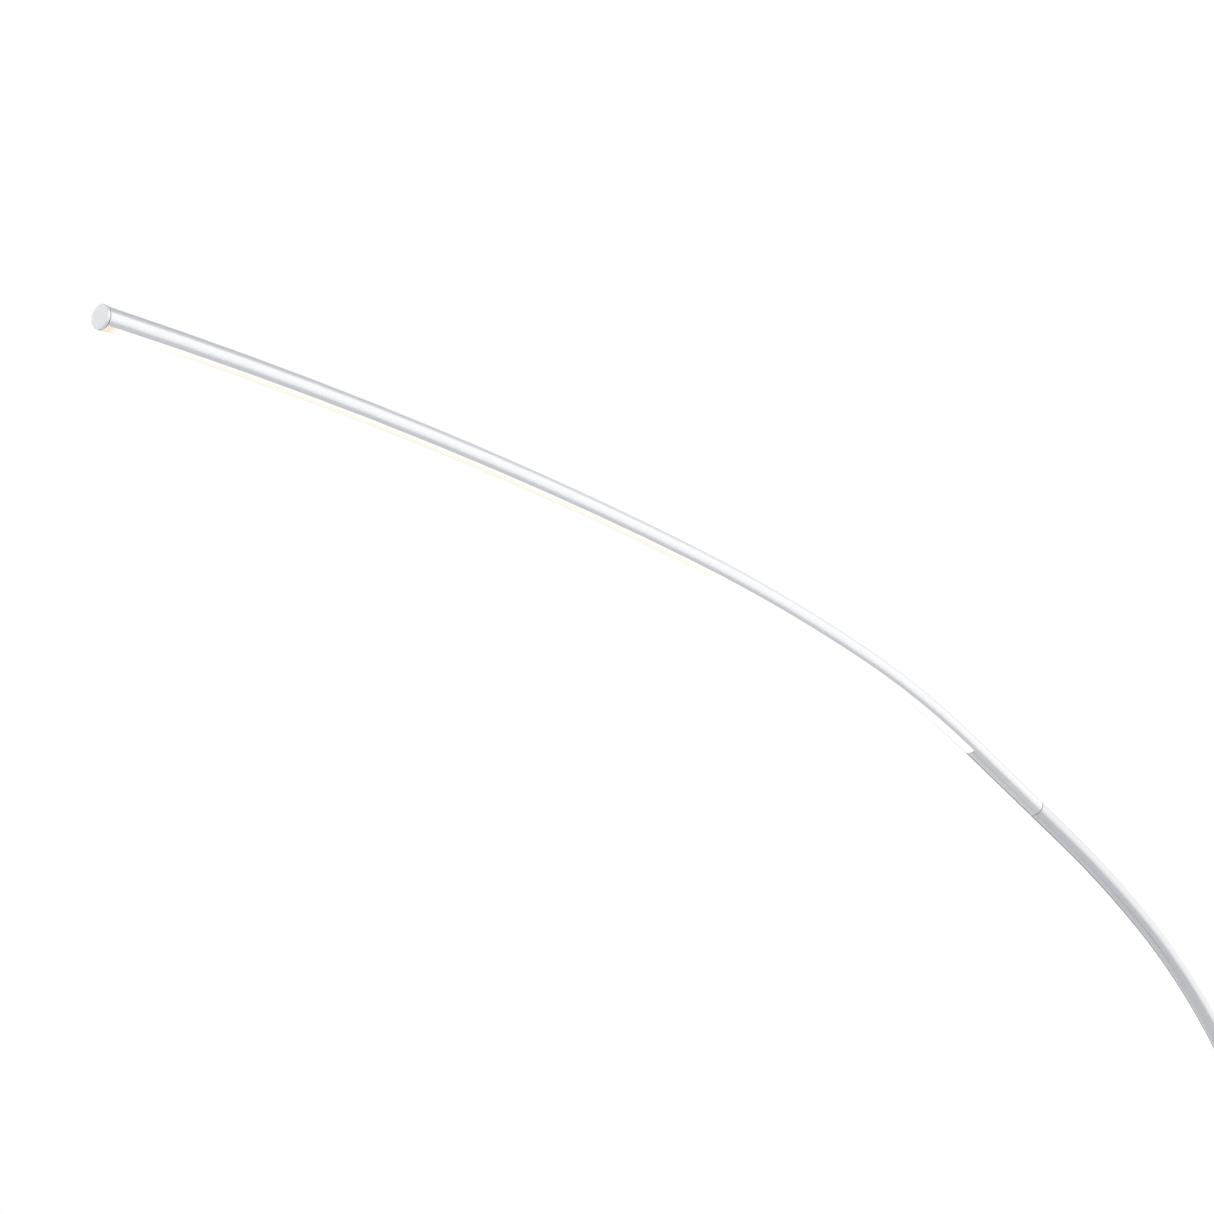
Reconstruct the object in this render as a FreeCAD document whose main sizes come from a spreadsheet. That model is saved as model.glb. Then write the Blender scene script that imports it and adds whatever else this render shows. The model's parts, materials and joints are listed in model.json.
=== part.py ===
import FreeCAD, Part
import math
import os
import Sketcher

Vector = FreeCAD.Vector
Placement = FreeCAD.Placement
Rotation = FreeCAD.Rotation

# Slim arc floor lamp. The origin is the centre of the round base where it stands on the floor,
# +Z is up, and the mast bends over towards +X. Every length is in millimetres, every angle in degrees.
# The mast is one planar curve: a straight pole, a bent tube and a slotted arm, joined butt to butt.

DIMENSIONS = [
    # Mast tubes
    ("tube_radius", 8.0),
    ("tube_wall", 1.2),
    ("tube_edge_break", 0.3),
    ("joint_gap", 0.7),
    ("pole_length", 880.0),
    ("bend_foot_run", 60.0),
    ("foot_bend_radius", 560.0),
    ("foot_bend_turn", 63.0),
    ("top_bend_radius", 1090.0),
    ("top_bend_turn", 7.8),
    ("bend_top_run", 55.0),
    # Light arm, from its joint end to its tip
    ("joint_run", 111.0),
    ("near_radius", 960.0),
    ("near_turn", 10.0),
    ("middle_radius", 2080.0),
    ("middle_turn", 6.6),
    ("tip_radius", 4560.0),
    ("tip_turn", 7.386),
    ("slot_start", 109.0),
    ("slot_half_width", 4.6),
    ("slot_cut_low", 2.4),
    ("slot_corner_radius", 1.5),
    # Lens that closes the slot
    ("lens_side_gap", 0.3),
    ("lens_clear", 0.1),
    ("lens_end_gap", 0.8),
    ("lens_flange_half_width", 5.1),
    ("lens_inner_radius", 5.4),
    ("lens_inner_half_width", 4.1),
    # Carrier channel, strip and chips, measured from the tube's centre towards the slot
    ("carrier_half_width", 5.9),
    ("carrier_back", 3.2),
    ("carrier_web", 1.2),
    ("carrier_leg", 0.8),
    ("carrier_leg_end", 3.0),
    ("carrier_start", 80.0),
    ("carrier_tip_gap", 0.24),
    ("strip_half_width", 4.0),
    ("strip_thick", 0.25),
    ("chip_length", 2.8),
    ("chip_width", 3.5),
    ("chip_high", 0.7),
    ("chip_pitch", 16.6),
    ("chip_margin", 12.0),
    ("connector_half_width", 5.0),
    ("connector_length", 20.0),
    ("connector_high", 4.0),
    # End cap at the tip
    ("cap_radius", 8.45),
    ("cap_thick", 2.2),
    ("cap_edge", 0.45),
    ("cap_neck_radius", 7.9),
    ("cap_neck_high", 0.6),
    ("cap_plug_radius", 6.7),
    ("cap_plug_length", 12.0),
    ("cap_plug_low", 3.2),
    # Spigots inside the joints, and their grub screws
    ("spigot_radius", 6.75),
    ("spigot_bore_radius", 4.0),
    ("spigot_half_length", 38.0),
    ("grub_offset", 20.0),
    ("grub_radius", 2.0),
    ("grub_seat", 4.3),
    ("grub_length", 3.3),
    ("grub_socket_radius", 1.1),
    ("grub_socket_deep", 1.5),
    ("grub_access_radius", 2.2),
    ("lead_radius", 1.5),
    # Base: pads, closing plate, weight and cover
    ("pad_radius", 108.0),
    ("pad_high", 3.0),
    ("plate_radius", 121.0),
    ("plate_thick", 1.2),
    ("plate_screw_circle", 114.0),
    ("plate_screw_radius", 2.0),
    ("plate_screw_length", 10.0),
    ("plate_screw_head_radius", 3.8),
    ("plate_screw_head_high", 1.6),
    ("plate_hole_radius", 2.2),
    ("weight_radius", 126.0),
    ("weight_high", 28.8),
    ("weight_edge", 5.2),
    ("cover_inner_radius", 126.2),
    ("cover_thick", 1.2),
    ("cover_low", 5.0),
    ("cover_edge", 6.2),
    ("cover_inner_edge", 5.0),
    # Pockets in the underside of the weight, their depths measured up from its bottom
    ("nut_pocket_radius", 25.0),
    ("nut_pocket_deep", 20.8),
    ("driver_pocket_back", 92.0),
    ("driver_pocket_front", 48.0),
    ("driver_pocket_half_width", 55.0),
    ("driver_pocket_deep", 22.8),
    ("channel_half_width", 11.0),
    ("channel_deep", 10.0),
    ("cord_channel_half_width", 8.0),
    ("cord_channel_deep", 17.8),
    ("cord_channel_end", 130.0),
    # Swivel under the pole
    ("bush_sleeve_radius", 7.0),
    ("bush_bore_radius", 5.05),
    ("bush_flange_radius", 13.0),
    ("lower_flange_radius", 11.5),
    ("bush_flange_high", 2.0),
    ("bush_split", 4.0),
    ("running_gap", 0.05),
    ("nipple_radius", 5.0),
    ("nipple_bore_radius", 3.5),
    ("nipple_foot", 16.0),
    ("nipple_length", 50.0),
    ("stop_washer_radius", 10.0),
    ("stop_washer_high", 1.05),
    ("stop_tab_reach", 17.0),
    ("stop_tab_half_width", 3.0),
    ("spring_washer_radius", 9.0),
    ("spring_washer_high", 1.0),
    ("nut_corner_radius", 8.1),
    ("nut_high", 4.5),
    ("stop_pin_circle", 14.5),
    ("stop_pin_radius", 2.0),
    ("stop_pin_drop", 6.0),
    ("stop_pin_seat", 5.0),
    ("foot_flange_radius", 11.0),
    ("foot_flange_high", 4.0),
    ("foot_plug_length", 30.0),
    # Collar around the foot of the pole
    ("collar_radius", 18.0),
    ("collar_lift", 0.5),
    ("collar_recess_radius", 13.6),
    ("collar_recess_high", 6.3),
    ("collar_high", 18.0),
    ("collar_bore_radius", 8.05),
    ("collar_edge", 2.5),
    ("collar_screw_drop", 5.5),
    ("collar_screw_length", 8.0),
    # Push switch in the base
    ("switch_offset", 78.0),
    ("switch_pocket_radius", 23.0),
    ("switch_base_radius", 15.0),
    ("switch_base_high", 15.0),
    ("switch_barrel_radius", 11.0),
    ("switch_barrel_rise", 3.0),
    ("switch_cavity_radius", 9.4),
    ("switch_floor", 4.0),
    ("switch_lip", 7.0),
    ("switch_bore_radius", 8.15),
    ("switch_nut_radius", 15.0),
    ("button_radius", 8.1),
    ("button_flange_radius", 9.1),
    ("button_flange_high", 5.0),
    ("button_rise", 3.8),
    ("button_edge", 1.5),
    ("button_slack", 0.1),
    ("coil_radius", 5.5),
    ("coil_wire_radius", 0.5),
    ("coil_pitch", 2.4),
    # Driver and wiring in the base
    ("driver_half_length", 38.0),
    ("driver_centre", 14.0),
    ("driver_back", 88.0),
    ("driver_front", 52.0),
    ("driver_low", 5.2),
    ("driver_high", 19.0),
    ("driver_wall", 1.6),
    ("driver_lid_high", 1.6),
    ("board_gap", 3.0),
    ("board_thick", 1.6),
    ("driver_centre_back", 70.0),
    ("transformer_back", 84.0),
    ("transformer_half", 7.5),
    ("transformer_high", 9.0),
    ("capacitor_radius", 4.0),
    ("capacitor_high", 9.5),
    ("capacitor_back", 62.0),
    ("capacitor_side", 14.0),
    ("foam_half_length", 28.0),
    ("foam_half_width", 14.0),
    ("terminal_back", 86.0),
    ("terminal_front", 66.0),
    ("terminal_side", 31.0),
    ("terminal_depth", 17.0),
    ("terminal_high", 13.0),
    ("terminal_screw_radius", 2.0),
    ("terminal_screw_deep", 6.0),
    ("terminal_screw_high", 4.0),
    ("terminal_middle", 76.0),
    ("terminal_pitch", 5.0),
    ("terminal_row", 4.5),
    ("base_lead_radius", 1.3),
    ("base_lead_drop", 0.3),
    ("base_lead_bend", 8.0),
    ("base_lead_turn", 90.0),
    ("lead_split_gap", 0.3),
    ("wire_radius", 1.0),
    ("wire_high", 8.0),
    ("wire_side", 5.0),
    # Cord inlet in the base's rear edge
    ("inlet_high", 14.0),
    ("inlet_bore_radius", 3.2),
    ("inlet_neck_radius", 5.2),
    ("inlet_flange_radius", 7.0),
    ("inlet_inner_flange_radius", 6.6),
    ("inlet_flange_thick", 1.8),
    ("inlet_clear", 0.3),
]

FLAT_COUNT = 6
PLATE_SCREW_COUNT = 6
QUARTER_TURN = 90.0
HALF_TURN = 180.0
FULL_TURN = 360.0

doc = FreeCAD.newDocument("arc_floor_lamp")
dims = doc.addObject("Spreadsheet::Sheet", "dims")
nodes = {}


def fill_sheet():
    for row, (alias, value) in enumerate(DIMENSIONS, 1):
        dims.set("A%d" % row, alias)
        dims.set("B%d" % row, str(value))
        dims.setAlias("B%d" % row, alias)
    doc.recompute()


# A size is written as a sum of aliases, such as "tube_radius - tube_wall".

def number(size):
    total, sign = 0.0, 1.0
    for word in size.split():
        if word in "+-":
            sign = -1.0 if word == "-" else 1.0
        elif word != "0":
            total += sign * float(dims.get(word))
    return total


def formula(size):
    return " ".join("dims." + word if word.isidentifier() else word for word in size.split())


def negated(size):
    flipped = [{"+": "-", "-": "+"}.get(word, word) for word in size.split()]
    return " " + " ".join(flipped if flipped[0] in "+-" else ["-"] + flipped)


def twice(size):
    return size + " + " + size


def bind(target, prop, size):
    target.setExpression(prop, formula(size))


def keep(name, solid, frame=None):
    """Make a finished piece a node, placed by its frame."""
    solid.Label = name
    if frame:
        solid.Placement = frame
    nodes[name] = solid
    return solid


# Primitives and booleans

def put(solid, x, y, z, rotation=None):
    if rotation:
        solid.Placement = Placement(Vector(), rotation)
    for axis, size in zip("xyz", (x, y, z)):
        bind(solid, "Placement.Base." + axis, size)
    return solid


# Turns that lay a cylinder's axis along an axis of the frame
ALONG_X = Rotation(Vector(0, 1, 0), QUARTER_TURN)
AGAINST_X = Rotation(Vector(0, 1, 0), -QUARTER_TURN)
ALONG_Y = Rotation(Vector(1, 0, 0), -QUARTER_TURN)
AGAINST_Y = Rotation(Vector(1, 0, 0), QUARTER_TURN)


def cylinder(radius, height, x="0", y="0", z="0", rotation=None):
    solid = doc.addObject("Part::Cylinder", "cylinder")
    bind(solid, "Radius", radius)
    bind(solid, "Height", height)
    return put(solid, x, y, z, rotation)


def block(low, size):
    solid = doc.addObject("Part::Box", "block")
    for prop, length in zip(("Length", "Width", "Height"), size):
        bind(solid, prop, length)
    return put(solid, *low)


def hexagon(radius, height, z="0"):
    solid = doc.addObject("Part::Prism", "hexagon")
    solid.Polygon = FLAT_COUNT
    bind(solid, "Circumradius", radius)
    bind(solid, "Height", height)
    return put(solid, "0", "0", z)


def joined(*solids):
    union = doc.addObject("Part::MultiFuse", "union")
    union.Shapes = list(solids)
    return union


def less(base, *tools):
    result = doc.addObject("Part::Cut", "difference")
    result.Base = base
    result.Tool = tools[0] if len(tools) == 1 else joined(*tools)
    return result


def group(*solids):
    compound = doc.addObject("Part::Compound", "group")
    compound.Links = list(solids)
    return compound


# Bodies, sketches and features

def new_body(name, frame=None):
    return keep(name, doc.addObject("PartDesign::Body", name), frame)


def sketch_on(body, role, lift=None):
    sketch = body.newObject("Sketcher::SketchObject", body.Name + "_sketch")
    plane = next(item for item in body.Origin.OriginFeatures if item.Role == role)
    sketch.AttachmentSupport = [(plane, "")]
    sketch.MapMode = "FlatFace"
    if lift:
        bind(sketch, "AttachmentOffset.Base.z", lift)
    return sketch


def constrain(sketch, constraint, size=None, unit=""):
    index = sketch.addConstraint(constraint)
    if size:
        sketch.setExpression("Constraints[%d]" % index, "(" + formula(size) + ")" + unit)


def pin_point(sketch, element, point, x, y):
    """Fix one point of a sketch element at (x, y), each a size."""
    if x == "0":
        constrain(sketch, Sketcher.Constraint("PointOnObject", element, point, -2))
    else:
        constrain(sketch, Sketcher.Constraint("DistanceX", -1, 1, element, point, number(x)), x)
    if y == "0":
        constrain(sketch, Sketcher.Constraint("PointOnObject", element, point, -1))
    else:
        constrain(sketch, Sketcher.Constraint("DistanceY", -1, 1, element, point, number(y)), y)


def draw_circle(sketch, radius, x="0", y="0"):
    circle = Part.Circle(Vector(number(x), number(y), 0), Vector(0, 0, 1), number(radius))
    element = sketch.addGeometry(circle, False)
    pin_point(sketch, element, 3, x, y)
    constrain(sketch, Sketcher.Constraint("Radius", element, number(radius)), radius)


def draw_polygon(sketch, corners):
    places = [Vector(number(x), number(y), 0) for x, y in corners]
    count = len(corners)
    edges = [
        sketch.addGeometry(Part.LineSegment(places[i], places[(i + 1) % count]), False)
        for i in range(count)
    ]
    for i, edge in enumerate(edges):
        constrain(sketch, Sketcher.Constraint("Coincident", edge, 2, edges[(i + 1) % count], 1))
        pin_point(sketch, edge, 1, *corners[i])


def rectangle(left, right, low, high):
    return [(left, low), (right, low), (right, high), (left, high)]


def turn_profile(body, corners):
    """A solid of revolution about the body's Z axis, from (radius, height) corners."""
    sketch = sketch_on(body, "XZ_Plane")
    draw_polygon(sketch, corners)
    feature = body.newObject("PartDesign::Revolution", "turned")
    feature.Profile = sketch
    feature.ReferenceAxis = (sketch, ["V_Axis"])
    feature.Angle = FULL_TURN
    return feature


def turned(name, corners, frame=None):
    body = new_body(name, frame)
    turn_profile(body, corners)
    return body


def ring(name, bore, radius, low, high, frame=None):
    return turned(name, [(bore, low), (radius, low), (radius, high), (bore, high)], frame)


def cut_pocket(body, sketch, depth, upward=True):
    pocket = body.newObject("PartDesign::Pocket", "pocket")
    pocket.Profile = sketch
    pocket.Reversed = upward
    if depth:
        bind(pocket, "Length", depth)
    else:
        pocket.Type = "ThroughAll"
    return pocket


def round_edges(body, radius, chosen):
    """Fillet the circular edges for which chosen(edge) is true."""
    doc.recompute()
    base = body.Tip
    names = [
        "Edge%d" % i
        for i, edge in enumerate(base.Shape.Edges, 1)
        if isinstance(edge.Curve, Part.Circle) and chosen(edge)
    ]
    fillet = body.newObject("PartDesign::Fillet", "rounded")
    fillet.Base = (base, names)
    bind(fillet, "Radius", radius)
    return fillet


def at(radius, height):
    """Test for a level circular edge of the given radius and height, each a size."""
    def chosen(edge):
        circle = edge.Curve
        near_radius = abs(circle.Radius - number(radius)) < 1e-3
        return near_radius and abs(circle.Center.z - number(height)) < 1e-3
    return chosen


# Centrelines. A run is ("line", length) or ("arc", radius, turn); each path starts up its body's
# Z axis and bends towards +X.

def run_length(run):
    if run[0] == "line":
        return number(run[1])
    return number(run[1]) * math.radians(number(run[2]))


def step(run, share=1.0):
    """The local displacement and turn of a share of one run."""
    if run[0] == "line":
        return Placement(Vector(0, 0, number(run[1]) * share), Rotation())
    radius, turn = number(run[1]), number(run[2]) * share
    angle = math.radians(turn)
    move = Vector(radius * (1 - math.cos(angle)), 0, radius * math.sin(angle))
    return Placement(move, Rotation(Vector(0, 1, 0), turn))


def frame_after(frame, runs):
    for run in runs:
        frame = frame.multiply(step(run))
    return frame


def frame_at(runs, distance):
    """The frame on a path at a distance along it."""
    frame = Placement()
    for run in runs:
        length = run_length(run)
        if distance <= length:
            return frame.multiply(step(run, distance / length))
        frame = frame.multiply(step(run))
        distance -= length
    return frame


def draw_path(body, runs, start="0"):
    sketch = sketch_on(body, "XZ_Plane")
    frame = Placement(Vector(0, 0, number(start)), Rotation())
    previous = None
    for run in runs:
        after = frame.multiply(step(run))
        here, there = (Vector(f.Base.x, f.Base.z, 0) for f in (frame, after))
        if run[0] == "line":
            element = sketch.addGeometry(Part.LineSegment(here, there), False)
            first, last = 1, 2
            constrain(sketch, Sketcher.Constraint("Distance", element, run_length(run)), run[1])
        else:
            half = frame.multiply(step(run, 0.5)).Base
            middle = Vector(half.x, half.z, 0)
            element = sketch.addGeometry(Part.Arc(here, middle, there), False)
            first, last = 2, 1
            turn = math.radians(number(run[2]))
            constrain(sketch, Sketcher.Constraint("Radius", element, number(run[1])), run[1])
            constrain(sketch, Sketcher.Constraint("Angle", element, turn), run[2], " * 1 deg")
        if previous is None:
            pin_point(sketch, element, first, "0", start)
            constrain(sketch, Sketcher.Constraint("Vertical", element))
        else:
            constrain(sketch, Sketcher.Constraint("Tangent", *previous, element, first))
        previous = (element, last)
        frame = after
    return sketch


def sweep(body, section, spine, kind="Additive"):
    doc.recompute()
    pipe = body.newObject("PartDesign::%sPipe" % kind, "sweep")
    pipe.Profile = section
    pipe.Spine = (spine, [])
    return pipe


def swept_tube(name, runs, frame):
    body = new_body(name, frame)
    section = sketch_on(body, "XY_Plane")
    draw_circle(section, "tube_radius")
    draw_circle(section, "tube_radius - tube_wall")
    sweep(body, section, draw_path(body, runs))
    return body


def break_ends(body, ends):
    """Chamfer a tube's outer edge at the given ends, each a point on its centreline."""
    doc.recompute()
    base = body.Tip
    names = [
        "Edge%d" % i
        for i, edge in enumerate(base.Shape.Edges, 1)
        if isinstance(edge.Curve, Part.Circle)
        and abs(edge.Curve.Radius - number("tube_radius")) < 1e-3
        and any(edge.Curve.Center.distanceToPoint(end) < 1e-3 for end in ends)
    ]
    chamfer = body.newObject("PartDesign::Chamfer", "edge_break")
    chamfer.Base = (base, names)
    bind(chamfer, "Size", "tube_edge_break")


# Levels of the base, from the floor up

PLATE_TOP = "pad_high + plate_thick"
WEIGHT_TOP = PLATE_TOP + " + weight_high"
COVER_TOP = WEIGHT_TOP + " + cover_thick"
COVER_OUTER = "cover_inner_radius + cover_thick"
WEB_LOW = PLATE_TOP + " + nut_pocket_deep"
BUSH_TOP = COVER_TOP + " + bush_flange_high"
FOOT_LOW = BUSH_TOP + " + running_gap"
POLE_LOW = FOOT_LOW + " + foot_flange_high"
POLE_TOP = POLE_LOW + " + pole_length"

BEND_RUNS = [
    ("line", "bend_foot_run"),
    ("arc", "foot_bend_radius", "foot_bend_turn"),
    ("arc", "top_bend_radius", "top_bend_turn"),
    ("line", "bend_top_run"),
]
ARM_BENDS = [
    ("arc", "near_radius", "near_turn"),
    ("arc", "middle_radius", "middle_turn"),
    ("arc", "tip_radius", "tip_turn"),
]
ARM_RUNS = [("line", "joint_run")] + ARM_BENDS


# Mast

def pole():
    body = new_body("pole", Placement(Vector(0, 0, number(POLE_LOW)), Rotation()))
    section = sketch_on(body, "XY_Plane")
    draw_circle(section, "tube_radius")
    draw_circle(section, "tube_radius - tube_wall")
    pad = body.newObject("PartDesign::Pad", "wall")
    pad.Profile = section
    bind(pad, "Length", "pole_length - joint_gap")
    break_ends(body, [Vector(0, 0, number("pole_length - joint_gap"))])
    grub_hole(body, [("line", "pole_length")], number("pole_length - grub_offset"))


def grub_hole(body, runs, distance):
    """Cut a screw's access hole through the tube wall on the -Y side, at a distance along the tube."""
    doc.recompute()
    before = body.Shape.Volume
    place = frame_at(runs, distance).Base
    sketch = sketch_on(body, "XZ_Plane")
    hole = Part.Circle(Vector(place.x, place.z, 0), Vector(0, 0, 1), number("grub_access_radius"))
    element = sketch.addGeometry(hole, False)
    constrain(sketch, Sketcher.Constraint("Block", element))
    cut_pocket(body, sketch, "tube_radius + tube_wall")
    doc.recompute()
    assert body.Shape.Volume < before, body.Label


def bend_tube(frame):
    """Bent tube, ending a narrow shadow gap short of the light arm."""
    runs = BEND_RUNS[:-1] + [("line", "bend_top_run - joint_gap")]
    body = swept_tube("bend_tube", runs, frame)
    break_ends(body, [Vector(), frame_after(Placement(), runs).Base])
    length = sum(run_length(run) for run in BEND_RUNS)
    grub_hole(body, BEND_RUNS, number("grub_offset"))
    grub_hole(body, BEND_RUNS, length - number("grub_offset"))


def arm_tube(frame):
    body = swept_tube("led_arm_tube", ARM_RUNS, frame)
    break_ends(body, [Vector()])
    section = sketch_on(body, "XY_Plane", "slot_start")
    draw_polygon(section, rectangle("slot_cut_low", "tube_radius + tube_wall",
                                    "- slot_half_width", "slot_half_width"))
    spine = draw_path(body, [("line", "joint_run - slot_start")] + ARM_BENDS, "slot_start")
    sweep(body, section, spine, "Subtractive")
    round_slot_corners(body)
    grub_hole(body, ARM_RUNS, number("grub_offset"))


def round_slot_corners(body):
    """Fillet the two corners where the slot ends, in the tube's wall."""
    doc.recompute()
    base = body.Tip
    level = number("slot_start")
    names = [
        "Edge%d" % i
        for i, edge in enumerate(base.Shape.Edges, 1)
        if len(edge.Vertexes) == 2
        and all(abs(vertex.Z - level) < 1e-3 for vertex in edge.Vertexes)
        and all(abs(abs(vertex.Y) - number("slot_half_width")) < 1e-3 for vertex in edge.Vertexes)
        and edge.Vertexes[0].Y * edge.Vertexes[1].Y > 0
    ]
    assert len(names) == 2, names
    fillet = body.newObject("PartDesign::Fillet", "slot_corners")
    fillet.Base = (base, names)
    bind(fillet, "Radius", "slot_corner_radius")


def lens(frame):
    """Opal lens: an outer strip flush with the tube, on a wider flange inside the wall."""
    body = new_body("lens", frame)
    start = "slot_start + lens_end_gap"
    runs = [("line", "joint_run - slot_start - lens_end_gap")] + ARM_BENDS
    spine = draw_path(body, runs, start)
    section = sketch_on(body, "XY_Plane", start)
    draw_lens_section(section)
    sweep(body, section, spine)


def draw_lens_section(sketch):
    """T-shaped section about the tube's axis: a stem in the slot and a bar behind the wall."""
    under = "tube_radius - tube_wall - lens_clear"
    half = [
        ("tube_radius", "slot_half_width - lens_side_gap"),
        (under, "slot_half_width - lens_side_gap"),
        (under, "lens_flange_half_width"),
        ("lens_inner_radius", "lens_inner_half_width"),
    ]
    corners = half + [(radius, negated(side)) for radius, side in reversed(half)]
    edges = [
        draw_lens_edge(sketch, here, there)
        for here, there in zip(corners, corners[1:] + corners[:1])
    ]
    for i, (element, first, last) in enumerate(edges):
        after = edges[(i + 1) % len(edges)]
        constrain(sketch, Sketcher.Constraint("Coincident", element, last, after[0], after[1]))
        side = corners[i][1]
        place = Sketcher.Constraint("DistanceY", -1, 1, element, first, number(side))
        constrain(sketch, place, side)


def draw_lens_edge(sketch, here, there):
    """An arc about the axis between (radius, side) corners of one radius, or else a line.

    Gives the element and the numbers of its points at the first and the second corner.
    """
    start, end = (lens_corner(*corner) for corner in (here, there))
    if here[0] != there[0]:
        return sketch.addGeometry(Part.LineSegment(start, end), False), 1, 2
    circle = Part.Circle(Vector(), Vector(0, 0, 1), number(here[0]))
    angles = [math.atan2(place.y, place.x) for place in (start, end)]
    element = sketch.addGeometry(Part.ArcOfCircle(circle, min(angles), max(angles)), False)
    constrain(sketch, Sketcher.Constraint("Coincident", element, 3, -1, 1))
    constrain(sketch, Sketcher.Constraint("Radius", element, number(here[0])), here[0])
    return (element, 1, 2) if angles[1] > angles[0] else (element, 2, 1)


def lens_corner(radius, side):
    return Vector(math.sqrt(number(radius) ** 2 - number(side) ** 2), number(side), 0)


def carrier(frame):
    """Channel that carries the strip, its legs towards the lens."""
    body = new_body("strip_carrier", frame)
    runs = inner_runs("carrier_start")
    spine = draw_path(body, runs, "carrier_start")
    section = sketch_on(body, "XY_Plane", "carrier_start")
    inner = "carrier_half_width - carrier_leg"
    web = "- carrier_back + carrier_web"
    draw_polygon(section, [
        ("- carrier_back", "- carrier_half_width"),
        ("carrier_leg_end", "- carrier_half_width"),
        ("carrier_leg_end", "- carrier_half_width + carrier_leg"),
        (web, "- carrier_half_width + carrier_leg"),
        (web, inner),
        ("carrier_leg_end", inner),
        ("carrier_leg_end", "carrier_half_width"),
        ("- carrier_back", "carrier_half_width"),
    ])
    sweep(body, section, spine)


def inner_runs(start):
    """Runs of a piece inside the arm, from its start to just short of the end cap's plug."""
    last = ("arc", "tip_radius", "tip_turn - carrier_tip_gap")
    return [("line", "joint_run - " + start)] + ARM_BENDS[:-1] + [last]


def strip(frame):
    """Flexible circuit on the underside of the carrier."""
    body = new_body("led_strip", frame)
    spine = draw_path(body, inner_runs("carrier_start"), "carrier_start")
    section = sketch_on(body, "XY_Plane", "carrier_start")
    back = "- carrier_back + carrier_web"
    corners = rectangle(back, back + " + strip_thick", "- strip_half_width", "strip_half_width")
    draw_polygon(section, corners)
    sweep(body, section, spine)


def chips(frame):
    """Light-emitting diodes in a row along the strip, each a block."""
    first = number("slot_start + chip_margin")
    runs = ARM_BENDS[:-1] + [("arc", "tip_radius", "tip_turn - carrier_tip_gap")]
    last = number("joint_run - chip_margin") + sum(run_length(run) for run in runs)
    pitch = number("chip_pitch")
    face = number("carrier_web - carrier_back + strip_thick")
    length, width, high = (number(size) for size in ("chip_length", "chip_width", "chip_high"))
    solids = []
    for i in range(int((last - first) / pitch) + 1):
        chip = Part.makeBox(high, width, length, Vector(face, -width / 2, -length / 2))
        chip.Placement = frame_at(ARM_RUNS, first + i * pitch)
        solids.append(chip)
    feature = doc.addObject("Part::Feature", "led_chips")
    feature.Shape = Part.makeCompound(solids)
    keep("led_chips", feature, frame)


def connector(frame):
    """Two-pole connector on the strip's end, where the lead meets it."""
    low = ("- carrier_back + carrier_web + strip_thick", "- connector_half_width",
           "carrier_start - connector_length")
    size = ("connector_high", "connector_half_width + connector_half_width", "connector_length")
    keep("strip_connector", group(block(low, size)), frame)


def end_cap(frame):
    """Cap with a stepped neck and a plug cut away over the lens."""
    neck = "cap_neck_high"
    body = turned("end_cap", [
        ("0", "- cap_plug_length"),
        ("cap_plug_radius", "- cap_plug_length"),
        ("cap_plug_radius", "0"),
        ("cap_neck_radius", "0"),
        ("cap_neck_radius", neck),
        ("cap_radius", neck),
        ("cap_radius", neck + " + cap_thick"),
        ("0", neck + " + cap_thick"),
    ], frame)
    round_edges(body, "cap_edge", at("cap_radius", neck + " + cap_thick"))
    sketch = sketch_on(body, "XY_Plane")
    draw_polygon(sketch, rectangle("cap_plug_low", "tube_radius + tube_wall",
                                   "- tube_radius - tube_wall", "tube_radius + tube_wall"))
    cut_pocket(body, sketch, "cap_plug_length + tube_wall", upward=False)


def spigot(name, frame):
    """Sleeve inside a butt joint, with a threaded hole for a grub screw on each side of it."""
    body = turned(name, rectangle("spigot_bore_radius", "spigot_radius",
                                  "- spigot_half_length", "spigot_half_length"), frame)
    for height in ("grub_offset", "- grub_offset"):
        sketch = sketch_on(body, "XZ_Plane")
        draw_circle(sketch, "grub_radius", "0", height)
        cut_pocket(body, sketch, "tube_radius")


def grub_screw(height):
    """Headless screw pointing in towards the tube's axis, its socket outwards."""
    shank = cylinder("grub_radius", "grub_length", "0", "- grub_seat", height, AGAINST_Y)
    socket_face = "- grub_seat - grub_length + grub_socket_deep"
    socket = cylinder("grub_socket_radius", "grub_socket_deep", "0", socket_face, height, AGAINST_Y)
    return less(shank, socket)


def joint(name, frame):
    spigot(name + "_spigot", frame)
    screws = group(grub_screw("grub_offset"), grub_screw("- grub_offset"))
    keep(name + "_grub_screws", screws, frame)


def lead(name, radius, runs, frame, start="0"):
    body = new_body(name, frame)
    section = sketch_on(body, "XY_Plane", start if start != "0" else None)
    draw_circle(section, radius)
    sweep(body, section, draw_path(body, runs, start))


def mast_lead():
    """Low-voltage lead up the middle of the mast, from the nipple to the strip's connector."""
    foot = POLE_LOW + " + pole_length - nipple_foot + bend_foot_run"
    runs = [("line", foot)] + BEND_RUNS[1:3]
    runs.append(("line", "bend_top_run + carrier_start - connector_length"))
    frame = Placement(Vector(0, 0, number("nipple_foot")), Rotation())
    lead("mast_lead", "lead_radius", runs, frame)


# Foot of the pole and swivel

def foot_plug():
    """Turned plug in the pole's end, its flange carrying the pole on the bush."""
    plug_top = POLE_LOW + " + foot_plug_length"
    turned("foot_plug", [
        ("nipple_radius", FOOT_LOW),
        ("foot_flange_radius", FOOT_LOW),
        ("foot_flange_radius", POLE_LOW),
        ("spigot_radius", POLE_LOW),
        ("spigot_radius", plug_top),
        ("nipple_radius", plug_top),
    ])


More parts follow.
